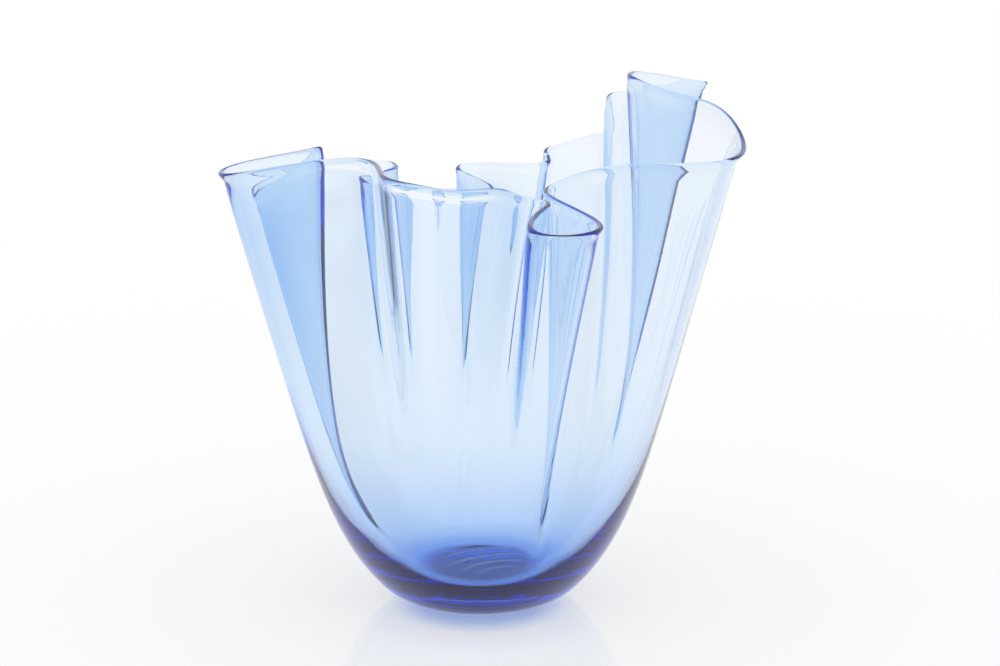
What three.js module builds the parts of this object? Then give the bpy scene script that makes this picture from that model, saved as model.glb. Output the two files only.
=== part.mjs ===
import * as THREE from "three";
import { NURBSCurve } from "three/addons/curves/NURBSCurve.js";
import { ParametricGeometry } from "three/addons/geometries/ParametricGeometry.js";
import { mergeVertices } from "three/addons/utils/BufferGeometryUtils.js";

// Handkerchief vase of clear blue glass: one thick-footed bubble, opened out and
// let hang until its wall fell into folds, so that the lip is one long wavy edge.
// Millimetres, +Z up, origin at the middle of the foot on the table.

// Top of the tall corner, and how far the lip spreads across and front to back.
const HEIGHT = 282;
const LIP_WIDTH = 280;
const LIP_DEPTH = 280;

// Middle of the wall before it folds: the radius grows from the foot through a
// rounded heel and a full belly into a wall that leans straight outwards.
const FOOT_RADIUS = 35;
const HEEL_SWELL = 9;
const HEEL_RISE = 2.5;
const BELLY_SWELL = 29.5;
const BELLY_RISE = 29;
const WALL_LEAN = 0.256;

// Glass of the wall at the lip, what the base has on top of that, and the climb
// over which the base thins away.
const LIP_WALL = 1.6;
const BASE_WALL = 20;
const WALL_FALL = 27;

// Glass under the bowl, the climb over which its round floor opens out, and the
// height of its shoulder, where it runs on into the wall.
const FLOOR = 12;
const BOWL_RISE = 2.5;
const SHOULDER = 45;

// The lip is fire-polished into a round bead and turned out a little. Glass that
// gathers in a fold thins out again on its way up to the lip.
const LIP_BEAD = 3;
const LIP_HEIGHT = 10;
const LIP_FLARE = 2;
const LIP_THIN = 10;

// A fold is a lobe (pushed out) or a pleat (drawn in). Each row gives where its tip
// stands on the lip, in percent of the half width and half depth, its drop below the
// top, how wide the tip is, which way the lip runs over it (degrees from +X, counter-
// clockwise round the vase), the bearing on the round body it grows from, the height
// at which it starts to grow, and how much thicker the glass gathers in its bend.
const FOLDS = [
  // left lobe
  { across: -100, back: 0, drop: 44, width: 62, heading: 270, bearing: 182, start: 40, gather: 3.4 },
  // soft step in the front
  { across: -44, back: -20, drop: 32, width: 34, heading: 318, bearing: 245, start: 60, gather: 1 },
  { across: -26, back: -80, drop: 32, width: 36, heading: 318, bearing: 254, start: 60, gather: 0.5 },
  { across: 0, back: -64, drop: 39, width: 36, heading: 42, bearing: 264, start: 60, gather: 0.5 },
  // narrow-necked loop at the front
  { across: 21, back: -37, drop: 50, width: 24, heading: 333, bearing: 274, start: 75, gather: 2 },
  { across: 19, back: -69, drop: 52, width: 40, heading: 262, bearing: 280, start: 70, gather: 2.4 },
  { across: 27, back: -94, drop: 55, width: 18, heading: 345, bearing: 286, start: 50, gather: 1.5 },
  { across: 43, back: -75, drop: 53, width: 34, heading: 98, bearing: 291, start: 40, gather: 1.6 },
  { across: 24, back: -24, drop: 48, width: 22, heading: 80, bearing: 296, start: 40, gather: 2 },
  // wide right side
  { across: 61, back: -26, drop: 34, width: 46, heading: 352, bearing: 315, start: 60, gather: 0 },
  { across: 98, back: -21, drop: 29, width: 56, heading: 78, bearing: 342, start: 60, gather: 0 },
  { across: 86, back: 34, drop: 10, width: 40, heading: 125, bearing: 10, start: 60, gather: 0 },
  // tall corner at the back right
  { across: 59, back: 63, drop: 0, width: 48, heading: 90, bearing: 26, start: 45, gather: 1.5 },
  { across: 94, back: 86, drop: 9, width: 26, heading: 100, bearing: 34, start: 45, gather: 3.6 },
  // two soft steps along the back
  { across: 54, back: 80, drop: 14, width: 16, heading: 130, bearing: 43, start: 35, gather: 2.5 },
  { across: 53, back: 96, drop: 41, width: 18, heading: 120, bearing: 48, start: 35, gather: 0.5 },
  { across: 29, back: 100, drop: 50, width: 14, heading: 220, bearing: 77, start: 25, gather: 1.5 },
  { across: 26, back: 81, drop: 56, width: 16, heading: 225, bearing: 82, start: 25, gather: 1.5 },
  // two pleats at the back left, with the thin wall between and beside them
  { across: -10, back: 96, drop: 60, width: 28, heading: 250, bearing: 92, start: 50, gather: 4 },
  { across: 5, back: 70, drop: 69, width: 24, heading: 255, bearing: 101, start: 50, gather: 3.5 },
  { across: -20, back: 53, drop: 65, width: 24, heading: 194, bearing: 110, start: 50, gather: 0 },
  { across: -46, back: 54, drop: 60, width: 26, heading: 105, bearing: 120, start: 50, gather: 4.6 },
  { across: -36, back: 91, drop: 58, width: 30, heading: 115, bearing: 130, start: 50, gather: 4.4 },
  { across: -66, back: 82, drop: 56, width: 40, heading: 222, bearing: 143, start: 30, gather: 0 },
  // second lobe and deep pleat at the left
  { across: -94, back: 43, drop: 72, width: 30, heading: 280, bearing: 159, start: 12, gather: 4.6 },
  { across: -60, back: 13, drop: 32, width: 26, heading: 268, bearing: 166, start: 10, gather: 2.8 },
];
// Bearings either side of a fold's own that its two lip points grow from.
const TIP_SPREAD = 1.3;
// Share of a fold's growth over which it eases in from the round body.
const FOLD_EASE = 0.12;

// Facets round the lip, heights of the rings up the base, and steps up the wall,
// round the bowl and over the lip.
const ROUND_STEPS = 168;
const BASE_HEIGHTS = [0, 1, 2.6, 5.5, 10, 17, 27];
const WALL_STEPS = 9;
const BOWL_STEPS = 7;
const LIP_STEPS = 4;

const GLASS_BLUE = 0xa9c3f1;

const radians = THREE.MathUtils.degToRad;
const lerp = THREE.MathUtils.lerp;

function bodyRadius(z) {
  const heel = HEEL_SWELL * (1 - Math.exp(-z / HEEL_RISE));
  const belly = BELLY_SWELL * (1 - Math.exp(-z / BELLY_RISE));
  return FOOT_RADIUS + heel + belly + WALL_LEAN * z;
}

// Smooth closed curve near its points, which go on past the end by one lap.
function closedCurve(points, lap, degree = 3) {
  const again = points.slice(0, degree).map((point) => point.clone().add(lap));
  const knots = Array.from({ length: points.length + 2 * degree + 1 }, (_, i) => i);
  return new NURBSCurve(degree, knots, [...points, ...again], degree, points.length + degree);
}

// Two points per fold make the lip. Their roots hold the bearing on the round body,
// the height at which the fold starts and the glass gathered in it.
function foldCurves() {
  const lip = [];
  const roots = [];
  let turn = 0;
  let last = FOLDS[0].bearing;
  for (const fold of FOLDS) {
    if (fold.bearing < last) turn += 360;
    last = fold.bearing;
    const along = radians(fold.heading);
    for (const side of [-1, 1]) {
      const reach = (side * fold.width) / 2;
      const x = ((fold.across / 100) * LIP_WIDTH) / 2 + reach * Math.cos(along);
      const y = ((fold.back / 100) * LIP_DEPTH) / 2 + reach * Math.sin(along);
      const bearing = radians(fold.bearing + turn + side * TIP_SPREAD);
      lip.push(new THREE.Vector4(x, y, HEIGHT - fold.drop, 1));
      roots.push(new THREE.Vector4(bearing, fold.start, fold.gather, 1));
    }
  }
  const samePlace = new THREE.Vector4(0, 0, 0, 0);
  const fullTurn = new THREE.Vector4(2 * Math.PI, 0, 0, 0);
  return { lip: closedCurve(lip, samePlace), roots: closedCurve(roots, fullTurn) };
}

const { lip, roots } = foldCurves();

// The lip over the line u round the vase, and how far height z is up its fold.
function foldAt(u, z) {
  const edge = lip.getPoint(u);
  const root = roots.getPoint(u);
  const climb = THREE.MathUtils.clamp((z - root.y) / (edge.z - root.y), 0, 1);
  return { edge, bearing: root.x, gather: root.z, climb };
}

// Plan position of the middle of the wall: the round body below, drawn over to the
// scaled lip curve as the fold grows.
function wallPlan(u, z) {
  const { edge, bearing, climb } = foldAt(u, z);
  const radius = bodyRadius(z);
  const scale = radius / bodyRadius(edge.z);
  const grown = (climb * climb * (1 + FOLD_EASE)) / (climb + FOLD_EASE);
  const turnedOut = Math.max(0, 1 - (edge.z - z) / LIP_HEIGHT);
  const flare = 1 + (LIP_FLARE * turnedOut * turnedOut) / radius;
  const round = new THREE.Vector2(Math.cos(bearing), Math.sin(bearing)).multiplyScalar(radius);
  const folded = new THREE.Vector2(edge.x, edge.y).multiplyScalar(scale);
  return round.lerp(folded, grown).multiplyScalar(flare);
}

// How far the outer skin lies from the middle of the wall.
function outside(u, z) {
  const { edge, gather, climb } = foldAt(u, z);
  const gathered = gather * climb * (1 - Math.exp(-(edge.z - z) / LIP_THIN));
  return (LIP_WALL + gathered) / 2;
}

// The same for the inner skin, which has the heavy base on its side.
function inside(u, z) {
  return -outside(u, z) - BASE_WALL * Math.exp(-z / WALL_FALL);
}

// How far the bowl has opened out at a height above its floor.
function bowlShare(z) {
  return Math.sqrt(1 - Math.exp(-(z - FLOOR) / BOWL_RISE));
}

// Point of a skin: the wall pushed out square to itself in plan.
function skinPoint(u, z, push) {
  const nudge = 1e-4;
  const before = wallPlan((u + 1 - nudge) % 1, z);
  const after = wallPlan((u + nudge) % 1, z);
  const along = after.sub(before).normalize();
  const plan = wallPlan(u, z).add(new THREE.Vector2(along.y, -along.x).multiplyScalar(push));
  return new THREE.Vector3(plan.x, plan.y, z);
}

function outerPoint(u, z) {
  return skinPoint(u, z, outside(u, z));
}

function innerPoint(u, z) {
  const share = bowlShare(z);
  return skinPoint(u, z, inside(u, z)).multiply(new THREE.Vector3(share, share, 1));
}

function beadPoint(u, angle) {
  const height = lip.getPoint(u).z;
  const bead = skinPoint(u, height, (LIP_BEAD / 2) * Math.cos(angle));
  bead.z += (LIP_BEAD / 2) * (Math.sin(angle) - 1);
  return bead;
}

// Stations of the section, from the middle of the foot out and up the outside,
// over the lip and down the inside to the middle of the bowl.
function sectionStations() {
  const baseTop = BASE_HEIGHTS[BASE_HEIGHTS.length - 1];
  const stations = [() => new THREE.Vector3(0, 0, 0)];
  for (const z of BASE_HEIGHTS) {
    stations.push((u) => outerPoint(u, z));
  }
  for (let i = 1; i < WALL_STEPS; i++) {
    stations.push((u) => outerPoint(u, lerp(baseTop, lip.getPoint(u).z, i / WALL_STEPS)));
  }
  for (let i = 0; i <= LIP_STEPS; i++) {
    stations.push((u) => beadPoint(u, (Math.PI * i) / LIP_STEPS));
  }
  for (let i = WALL_STEPS - 1; i > 0; i--) {
    stations.push((u) => innerPoint(u, lerp(SHOULDER, lip.getPoint(u).z, i / WALL_STEPS)));
  }
  for (let i = BOWL_STEPS; i > 0; i--) {
    stations.push((u) => innerPoint(u, lerp(FLOOR, SHOULDER, (i / BOWL_STEPS) ** 2)));
  }
  stations.push(() => new THREE.Vector3(0, 0, FLOOR));
  return stations;
}

// One closed skin: the two ends of each ring meet, and each pole is one point.
function closedSkin(stations) {
  const rows = stations.length - 1;
  const place = (u, v, target) => target.copy(stations[Math.round(v * rows)](u % 1));
  const sheet = new ParametricGeometry(place, ROUND_STEPS, rows);
  sheet.deleteAttribute("normal");
  sheet.deleteAttribute("uv");
  const skin = mergeVertices(sheet, 1e-4);
  const kept = [];
  for (let i = 0; i < skin.index.count; i += 3) {
    const corners = [0, 1, 2].map((k) => skin.index.getX(i + k));
    if (new Set(corners).size === 3) kept.push(...corners);
  }
  skin.setIndex(kept);
  skin.computeVertexNormals();
  return skin;
}

const glass = new THREE.MeshStandardMaterial({
  color: GLASS_BLUE,
  roughness: 0.04,
  metalness: 0,
  transparent: true,
  opacity: 0.35,
});

const vessel = new THREE.Mesh(closedSkin(sectionStations()), glass);
vessel.name = "folded_vessel";

const vase = new THREE.Group();
vase.name = "handkerchief_vase";
vase.add(vessel);

export default vase;
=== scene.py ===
import math

import bmesh
import bpy
import numpy as np
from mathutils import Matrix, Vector


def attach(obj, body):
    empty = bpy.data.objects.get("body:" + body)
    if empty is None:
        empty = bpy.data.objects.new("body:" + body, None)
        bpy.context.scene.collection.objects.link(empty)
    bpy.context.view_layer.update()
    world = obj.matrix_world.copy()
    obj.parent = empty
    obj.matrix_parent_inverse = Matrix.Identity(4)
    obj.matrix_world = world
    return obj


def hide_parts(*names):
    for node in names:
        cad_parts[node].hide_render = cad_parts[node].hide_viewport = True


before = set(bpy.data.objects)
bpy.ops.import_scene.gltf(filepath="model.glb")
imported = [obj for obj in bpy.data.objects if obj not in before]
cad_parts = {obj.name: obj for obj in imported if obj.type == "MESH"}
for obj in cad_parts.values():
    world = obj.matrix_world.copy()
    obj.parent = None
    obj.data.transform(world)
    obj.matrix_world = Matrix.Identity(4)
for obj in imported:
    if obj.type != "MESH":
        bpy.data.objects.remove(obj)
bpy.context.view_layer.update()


# Vessel. One bubble of clear blue glass with a heavy foot, opened out on the pipe and
# let hang mouth down until the hot wall fell into folds. The foot is ground flat, and
# the lip is melted round in the fire.
PER_METRE = 1000        # sizes of the glass are in millimetres, its mesh is in metres
HEIGHT, LIP_WIDTH, LIP_DEPTH = 282.0, 279.3, 279.6
FOOT_RADIUS = 35.0
HEEL_SWELL, HEEL_RISE = 9.0, 2.5
BELLY_SWELL, BELLY_RISE = 29.5, 29.0
WALL_LEAN = 0.256
LIP_WALL, BASE_WALL, WALL_FALL = 1.6, 20.0, 27.0
FLOOR, BOWL_RISE, SHOULDER = 12.0, 2.5, 45.0
LIP_BEAD, LIP_HEIGHT, LIP_FLARE = 3.0, 10.0, 2.0
TIP_SPREAD, FOLD_EASE, LIP_THIN = 1.3, 0.12, 10.0
SWIRL_LIFT, SWIRL_PITCH, SWIRL_REACH = 0.6, 11.0, 30.0
SWIRL_X, SWIRL_Y = 16.0, -30.0

# Each fold's tip on the lip: its place in percent of the half width and half depth, its
# drop below the top, its width, the way the lip runs over it, the bearing on the round body
# that it grows from, the height where it starts, and the glass gathered in its bend.
folds = [
    (-100, 0, 44, 62, 270, 182, 40, 3.4),       # left lobe
    (-44, -20, 32, 34, 318, 245, 60, 1.0),      # soft step in the front
    (-26, -80, 32, 36, 318, 254, 60, 0.5),
    (0, -64, 39, 36, 42, 264, 60, 0.5),
    (21, -37, 50, 24, 333, 274, 75, 2.0),       # narrow-necked loop
    (19, -69, 52, 40, 262, 280, 70, 2.4),
    (27, -94, 55, 18, 345, 286, 50, 1.5),
    (43, -75, 53, 34, 98, 291, 40, 1.6),
    (24, -24, 48, 22, 80, 296, 40, 2.0),
    (61, -26, 34, 46, 352, 315, 60, 0.0),       # wide right side
    (98, -21, 29, 56, 78, 342, 60, 0.0),
    (86, 34, 10, 40, 125, 10, 60, 0.0),
    (59, 63, 0, 48, 90, 26, 45, 1.5),           # tall corner
    (94, 86, 9, 26, 100, 34, 45, 3.6),
    (54, 80, 14, 16, 130, 43, 35, 2.5),         # two soft steps along the back
    (53, 96, 41, 18, 120, 48, 35, 0.5),
    (29, 100, 50, 14, 220, 77, 25, 1.5),
    (26, 81, 56, 16, 225, 82, 25, 1.5),
    (-10, 96, 60, 28, 250, 92, 50, 4.0),        # two pleats at the back left
    (5, 70, 69, 24, 255, 101, 50, 3.5),
    (-20, 53, 65, 24, 194, 110, 50, 0.0),
    (-46, 54, 60, 26, 105, 120, 50, 4.6),
    (-36, 91, 58, 30, 115, 130, 50, 4.4),
    (-66, 82, 56, 40, 222, 143, 30, 0.0),
    (-94, 43, 72, 30, 280, 159, 12, 4.6),       # second lobe and pleat at the left
    (-60, 13, 32, 26, 268, 166, 10, 2.8),
]


def body_radius(z):
    """Radius of the round body that the wall is drawn from."""
    heel = HEEL_SWELL * (1 - np.exp(-z / HEEL_RISE))
    belly = BELLY_SWELL * (1 - np.exp(-z / BELLY_RISE))
    return FOOT_RADIUS + heel + belly + WALL_LEAN * z


# Two lip points per fold: place, height, bearing of the root on the body, start, gather.
ROOT = 3
lip_points = []
turn = last = 0
for across, back, drop, width, heading, bearing, start, gather in folds:
    if bearing < last:
        turn += 360
    last = bearing
    along = math.radians(heading)
    for side in (-1, 1):
        reach = side * width / 2
        lip_points.append((across / 100 * LIP_WIDTH / 2 + reach * math.cos(along),
                           back / 100 * LIP_DEPTH / 2 + reach * math.sin(along),
                           HEIGHT - drop,
                           math.radians(bearing + turn + side * TIP_SPREAD), start, gather))
lip_points = np.array(lip_points)


def along_lip(u):
    """Point on the closed smooth curve of the lip, with its root, for u in lip points."""
    first = np.floor(u).astype(int)
    f = (u - first)[:, None]
    weights = ((1 - f) ** 3,
               3 * f ** 3 - 6 * f ** 2 + 4,
               -3 * f ** 3 + 3 * f ** 2 + 3 * f + 1,
               f ** 3)
    total = 0
    for step, weight in enumerate(weights):
        at = first + step - 1
        point = lip_points[at % len(lip_points)].copy()
        point[:, ROOT] += 2 * math.pi * np.floor_divide(at, len(lip_points))
        total = total + weight / 6 * point
    return total


def wall_plan(u, z):
    """Plan position of the middle of the wall: round below, drawn over to the lip above."""
    x, y, height, root, start, _ = along_lip(u).T
    radius = body_radius(z)
    scale = radius / body_radius(height)
    climb = np.clip((z - start) / (height - start), 0, 1)
    grown = climb ** 2 * (1 + FOLD_EASE) / (climb + FOLD_EASE)
    turned_out = np.clip(1 - (height - z) / LIP_HEIGHT, 0, None)
    flare = 1 + LIP_FLARE * turned_out ** 2 / radius
    plan = np.stack([(1 - grown) * radius * np.cos(root) + grown * scale * x,
                     (1 - grown) * radius * np.sin(root) + grown * scale * y], 1)
    return plan * flare[:, None]


def skin_ring(u, z, push, lift=0.0, hollow=1.0):
    """Ring of the skin: the wall pushed out square to itself, in metres."""
    z = np.broadcast_to(np.asarray(z, float), u.shape)
    nudge = 1e-3
    along = wall_plan(u + nudge, z) - wall_plan(u - nudge, z)
    along /= np.linalg.norm(along, axis=1)[:, None]
    square = np.stack([along[:, 1], -along[:, 0]], 1)
    plan = wall_plan(u, z) + np.broadcast_to(push, u.shape)[:, None] * square
    plan = plan * np.broadcast_to(hollow, u.shape)[:, None]
    return np.column_stack([plan, z + lift]) / PER_METRE


def outside(u, z):
    """How far the outer skin lies from the middle of the lip's wall: more in a thick bend."""
    _, _, height, _, start, gather = along_lip(u).T
    climb = np.clip((z - start) / (height - start), 0, 1)
    gathered = gather * climb * (1 - np.exp(-(height - z) / LIP_THIN))
    return (LIP_WALL + gathered) / 2


def inside(u, z):
    """The same for the inner skin, where the maker leaves the base heavy."""
    return -outside(u, z) - BASE_WALL * np.exp(-z / WALL_FALL)


def bowl_share(z):
    """How far the inside has opened out at a height above its rounded floor."""
    return np.sqrt(1 - np.exp(-(z - FLOOR) / BOWL_RISE))


def floor_swirl(x, y):
    """Low curved ridges that the turning iron left in the soft floor of the bowl."""
    from_centre = np.hypot(x - SWIRL_X, y - SWIRL_Y)
    ridges = 0.5 + 0.5 * np.sin(2 * math.pi * from_centre / SWIRL_PITCH)
    within = np.clip(1 - (np.hypot(x, y) / SWIRL_REACH) ** 2, 0, 1)
    return SWIRL_LIFT * ridges ** 2 * within


# The skin in rings, up the outside, over the lip and down the inside to the floor.
AROUND = 720
BASE_RINGS, WALL_RINGS, LIP_RINGS, INNER_RINGS, BOWL_RINGS, FLOOR_RINGS = 10, 44, 8, 42, 16, 15
BASE_TOP, BASE_CROWDING = 27.0, 2.2     # rings stand closer together down at the heel
FLAT_SHARE = 0.66                       # of the inside's width, where its floor ends
u = np.arange(AROUND) * len(lip_points) / AROUND
lip_height = along_lip(u)[:, 2]
rings = []
for z in BASE_TOP * np.linspace(0, 1, BASE_RINGS + 1)[1:] ** BASE_CROWDING:
    rings.append(skin_ring(u, z, outside(u, z)))
for share in np.linspace(0, 1, WALL_RINGS + 2)[1:-1]:
    z = BASE_TOP + (lip_height - BASE_TOP) * share
    rings.append(skin_ring(u, z, outside(u, z)))
for angle in np.linspace(0, math.pi, LIP_RINGS):
    lift = LIP_BEAD / 2 * (math.sin(angle) - 1)
    rings.append(skin_ring(u, lip_height, LIP_BEAD / 2 * math.cos(angle), lift))
for share in np.linspace(1, 0, INNER_RINGS + 2)[1:-1]:
    z = SHOULDER + (lip_height - SHOULDER) * share
    rings.append(skin_ring(u, z, inside(u, z), hollow=bowl_share(z)))
floor_edge = -BOWL_RISE * math.log(1 - FLAT_SHARE ** 2)
bowl_end = math.sqrt(floor_edge / (SHOULDER - FLOOR))
for share in np.linspace(1, bowl_end, BOWL_RINGS + 1)[:-1]:
    z = FLOOR + (SHOULDER - FLOOR) * share ** 2
    rings.append(skin_ring(u, z, inside(u, z), hollow=bowl_share(z)))
for share in np.linspace(FLAT_SHARE, 0, FLOOR_RINGS + 1)[:-1]:
    z = FLOOR - BOWL_RISE * math.log(1 - share ** 2)
    ring = skin_ring(u, z, inside(u, z), hollow=share)
    ring[:, 2] += floor_swirl(*(PER_METRE * ring[:, :2].T)) / PER_METRE
    rings.append(ring)

# The ground face is one round face, and its edge is drawn on from ring to ring.
bm = bmesh.new()
line = bm.verts.layers.int.new("line")
bmesh.ops.create_circle(bm, cap_ends=True, cap_tris=False, segments=AROUND, radius=1)
foot_ring = skin_ring(u, 0.0, outside(u, 0.0))
for i, vert in enumerate(bm.verts):
    vert[line] = i
    vert.co = foot_ring[i]
edge_ring = list(bm.edges)
for ring in rings:
    made = bmesh.ops.extrude_edge_only(bm, edges=edge_ring)["geom"]
    edge_ring = [part for part in made if isinstance(part, bmesh.types.BMEdge)]
    ring_verts = [part for part in made if isinstance(part, bmesh.types.BMVert)]
    for vert in ring_verts:
        vert.co = ring[vert[line]]
floor_middle = (0, 0, (FLOOR + floor_swirl(0, 0)) / PER_METRE)
bmesh.ops.pointmerge(bm, verts=ring_verts, merge_co=floor_middle)
bmesh.ops.recalc_face_normals(bm, faces=bm.faces)
for face in bm.faces:
    face.smooth = len(face.verts) <= 4

vessel_mesh = bpy.data.meshes.new("glass_vessel")
bm.to_mesh(vessel_mesh)
bm.free()
vessel = bpy.data.objects.new("glass_vessel", vessel_mesh)
bpy.context.scene.collection.objects.link(vessel)

# Clear blue glass, coloured through: pale in one wall and deep blue in the foot. The
# faint upright draw lines of the stretched bubble are a very shallow bump.
blue_glass = bpy.data.materials.new("blue_glass")
blue_glass.use_nodes = True
nodes, links = blue_glass.node_tree.nodes, blue_glass.node_tree.links
clear = nodes["Principled BSDF"]
clear.inputs["Base Color"].default_value = (1, 1, 1, 1)
clear.inputs["Roughness"].default_value = 0.0
clear.inputs["IOR"].default_value = 1.5
clear.inputs["Transmission Weight"].default_value = 1.0
tint = nodes.new("ShaderNodeVolumeAbsorption")
tint.inputs["Color"].default_value = (0.05, 0.50, 0.93, 1)
tint.inputs["Density"].default_value = 67
links.new(tint.outputs["Volume"], nodes["Material Output"].inputs["Volume"])
place = nodes.new("ShaderNodeTexCoord")
stretch = nodes.new("ShaderNodeMapping")
stretch.inputs["Scale"].default_value = (22, 22, 3)
draw_lines = nodes.new("ShaderNodeTexNoise")
draw_lines.inputs["Scale"].default_value = 1
draw_lines.inputs["Detail"].default_value = 2
ripple = nodes.new("ShaderNodeBump")
ripple.inputs["Strength"].default_value = 0.06
ripple.inputs["Distance"].default_value = 0.001
links.new(place.outputs["Object"], stretch.inputs["Vector"])
links.new(stretch.outputs["Vector"], draw_lines.inputs["Vector"])
links.new(draw_lines.outputs["Fac"], ripple.inputs["Height"])
links.new(ripple.outputs["Normal"], clear.inputs["Normal"])
vessel_mesh.materials.append(blue_glass)
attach(vessel, "root")
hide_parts("folded_vessel")


# Table. A smooth white sheet that fades into the white behind it. Its sheen mirrors the
# foot. Its glow has a painted pool of blue light in front of the foot, and a painted blue
# shade, deep near the foot, where the sheet shows through the glass.
TABLE_RADIUS, TABLE_DROP = 3.0, 0.0002              # the drop keeps it clear of the ground face
# Painted pool of blue light in front of the foot: its middle, and where its fading starts and ends.
POOL_MIDDLE = (0, -0.018, 0)
POOL_INNER, POOL_OUTER = 0.028, 0.052
FADE_START, FADE_END, NEAR_SHARE = 0.25, 1.2, 0.5   # share of plain white, from near to far
FOOT_INNER, FOOT_OUTER, FOOT_SHARE = 0.027, 0.040, 0.24
# Painted blue shade of the sheet as the glass shows it: deep near the foot, white far off.
painted_glass_shades = [                                     # by distance from the middle of the foot
    (0.028, (0.32, 0.44, 1, 1)),
    (0.042, (0.58, 0.67, 1, 1)),
    (0.062, (0.87, 0.88, 1, 1)),
    (0.12, (0.91, 0.915, 1, 1)),
    (0.30, (1, 1, 1, 1)),
]


def ramp(tree, value, start, end, low=0.0, high=1.0):
    """Socket that goes from low to high while the value goes from start to end."""
    slope = tree.nodes.new("ShaderNodeMapRange")
    slope.inputs["From Min"].default_value = start
    slope.inputs["From Max"].default_value = end
    slope.inputs["To Min"].default_value = low
    slope.inputs["To Max"].default_value = high
    tree.links.new(value, slope.inputs["Value"])
    return slope.outputs["Result"]


def combine(tree, operation, first, second):
    """Socket with the product, the larger or the like of two others."""
    both = tree.nodes.new("ShaderNodeMath")
    both.operation = operation
    tree.links.new(first, both.inputs[0])
    tree.links.new(second, both.inputs[1])
    return both.outputs["Value"]


bm = bmesh.new()
bmesh.ops.create_circle(bm, cap_ends=True, segments=96, radius=TABLE_RADIUS)
bmesh.ops.translate(bm, verts=bm.verts, vec=(0, 0, -TABLE_DROP))
table_mesh = bpy.data.meshes.new("table")
bm.to_mesh(table_mesh)
bm.free()
table = bpy.data.objects.new("table", table_mesh)
bpy.context.scene.collection.objects.link(table)

white_sheet = bpy.data.materials.new("white_sheet")
white_sheet.use_nodes = True
tree = white_sheet.node_tree
nodes, links = tree.nodes, tree.links
sheet = nodes["Principled BSDF"]
sheet.inputs["Base Color"].default_value = (0.97, 0.97, 0.975, 1)
sheet.inputs["Roughness"].default_value = 0.03
sheet.inputs["Specular IOR Level"].default_value = 1.0
spot = nodes.new("ShaderNodeTexCoord")
rays = nodes.new("ShaderNodeLightPath")
away = nodes.new("ShaderNodeVectorMath")
away.operation = "LENGTH"
links.new(spot.outputs["Object"], away.inputs[0])
from_pool = nodes.new("ShaderNodeVectorMath")
from_pool.operation = "DISTANCE"
from_pool.inputs[1].default_value = POOL_MIDDLE
links.new(spot.outputs["Object"], from_pool.inputs[0])

# Colour of the white: the painted pool of blue light for the eye, the painted blue shade for the
# glass.
painted_pool = ramp(tree, from_pool.outputs["Value"], POOL_INNER, POOL_OUTER, 1.0, 0.0)
painted_pool.node.interpolation_type = "SMOOTHSTEP"
painted_pool_colour = nodes.new("ShaderNodeMix")
painted_pool_colour.data_type = "RGBA"
painted_pool_colour.inputs["A"].default_value = (1, 1, 1, 1)
painted_pool_colour.inputs["B"].default_value = (0.45, 0.58, 0.95, 1)
links.new(painted_pool, painted_pool_colour.inputs["Factor"])
# Painted blue shade, seen only through the glass.
painted_shade_seen = nodes.new("ShaderNodeValToRGB")
steps = painted_shade_seen.color_ramp.elements
steps[0].position, steps[0].color = painted_glass_shades[0]
steps[1].position, steps[1].color = painted_glass_shades[-1]
for metres, shade in painted_glass_shades[1:-1]:
    steps.new(metres).color = shade
links.new(away.outputs["Value"], painted_shade_seen.inputs["Fac"])
tone = nodes.new("ShaderNodeMix")
tone.data_type = "RGBA"
links.new(rays.outputs["Is Camera Ray"], tone.inputs["Factor"])
links.new(painted_shade_seen.outputs["Color"], tone.inputs["A"])
links.new(painted_pool_colour.outputs["Result"], tone.inputs["B"])
glow = nodes.new("ShaderNodeEmission")
links.new(tone.outputs["Result"], glow.inputs["Color"])

# How much of it is plain white: half near the vessel, so that its shadow stays, and all
# far away; through the glass all but right under the foot.
fade_out = ramp(tree, away.outputs["Value"], FADE_START, FADE_END, NEAR_SHARE)
past_foot = ramp(tree, away.outputs["Value"], FOOT_INNER, FOOT_OUTER, FOOT_SHARE)
by_glass = combine(tree, "MAXIMUM", rays.outputs["Is Glossy Ray"], rays.outputs["Is Transmission Ray"])
seen_by_eye = combine(tree, "MULTIPLY", rays.outputs["Is Camera Ray"], fade_out)
seen_by_glass = combine(tree, "MULTIPLY", by_glass, past_foot)
lit_sheet = nodes.new("ShaderNodeMixShader")
links.new(combine(tree, "ADD", seen_by_eye, seen_by_glass), lit_sheet.inputs["Fac"])
links.new(sheet.outputs["BSDF"], lit_sheet.inputs[1])
links.new(glow.outputs["Emission"], lit_sheet.inputs[2])
links.new(lit_sheet.outputs["Shader"], nodes["Material Output"].inputs["Surface"])
table_mesh.materials.append(white_sheet)


# Light. A white studio lights all sides alike. Through the glass it shows a low white
# backdrop, and a white front with a dark card low at each side. It is dark above the
# backdrop, so that the heavy foot and the bends have dark lines.
BACKDROP_TOP, BACKDROP_END, DARK = 0.08, 0.28, 0.03     # heights on a sphere of radius 1
FRONT_START, FRONT_END = 0.1, -0.1
CARD_START, CARD_EDGE = 0.69, 0.79
CARD_TOP, CARD_END = 0.32, 0.39
studio = bpy.data.worlds.new("studio")
bpy.context.scene.world = studio
studio.use_nodes = True
tree = studio.node_tree
nodes, links = tree.nodes, tree.links
nodes.clear()
direction = nodes.new("ShaderNodeTexCoord")
split = nodes.new("ShaderNodeSeparateXYZ")
links.new(direction.outputs["Generated"], split.inputs["Vector"])
aside = nodes.new("ShaderNodeMath")
aside.operation = "ABSOLUTE"
links.new(split.outputs["X"], aside.inputs[0])
backdrop = ramp(tree, split.outputs["Z"], BACKDROP_TOP, BACKDROP_END, 1.0, DARK)
in_front = ramp(tree, split.outputs["Y"], FRONT_START, FRONT_END)
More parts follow.
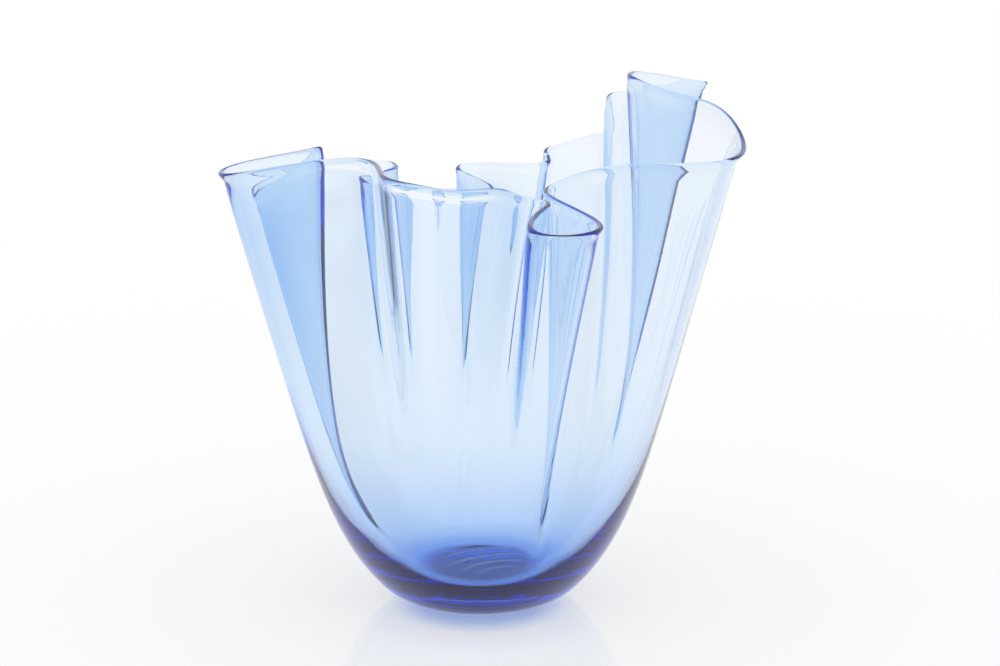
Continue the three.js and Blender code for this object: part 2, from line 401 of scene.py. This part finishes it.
beside_cards = ramp(tree, aside.outputs["Value"], CARD_START, CARD_EDGE, 1.0, 0.0)
over_cards = ramp(tree, split.outputs["Z"], CARD_TOP, CARD_END)
clear_of_cards = combine(tree, "MAXIMUM", beside_cards, over_cards)
white_front = combine(tree, "MULTIPLY", in_front, clear_of_cards)
glass_sees = nodes.new("ShaderNodeBackground")
links.new(combine(tree, "MAXIMUM", backdrop, white_front), glass_sees.inputs["Color"])
white = nodes.new("ShaderNodeBackground")
white.inputs["Color"].default_value = (1, 1, 1, 1)
rays = nodes.new("ShaderNodeLightPath")
not_lighting = nodes.new("ShaderNodeMath")
not_lighting.operation = "LESS_THAN"
not_lighting.inputs[1].default_value = 0.5
links.new(rays.outputs["Diffuse Depth"], not_lighting.inputs[0])
through_glass = combine(tree, "MULTIPLY", not_lighting.outputs["Value"],
                        rays.outputs["Is Transmission Ray"])
surroundings = nodes.new("ShaderNodeMixShader")
links.new(through_glass, surroundings.inputs["Fac"])
links.new(white.outputs["Background"], surroundings.inputs[1])
links.new(glass_sees.outputs["Background"], surroundings.inputs[2])
output = nodes.new("ShaderNodeOutputWorld")
links.new(surroundings.outputs["Shader"], output.inputs["Surface"])


# Camera. It stands a little above the lip's height and looks slightly down, through a
# long lens that keeps the upright wall from leaning.
ELEVATION, DISTANCE = math.radians(12.5), 1.290
aim = Vector((0.0111, 0, 0.149))
eye = aim + DISTANCE * Vector((0, -math.cos(ELEVATION), math.sin(ELEVATION)))
lens = bpy.data.cameras.new("camera")
lens.lens = 85
lens.sensor_width = 36
camera = bpy.data.objects.new("camera", lens)
camera.location = eye
camera.rotation_euler = (aim - eye).to_track_quat("-Z", "Y").to_euler()
bpy.context.scene.collection.objects.link(camera)
bpy.context.scene.camera = camera
bpy.context.scene.view_settings.view_transform = "Standard"
# Light is led round inside the glass many times before it leaves an edge or a bend.
BOUNCES = 64
bpy.context.scene.cycles.max_bounces = BOUNCES
bpy.context.scene.cycles.transmission_bounces = BOUNCES
bpy.context.scene.cycles.glossy_bounces = BOUNCES
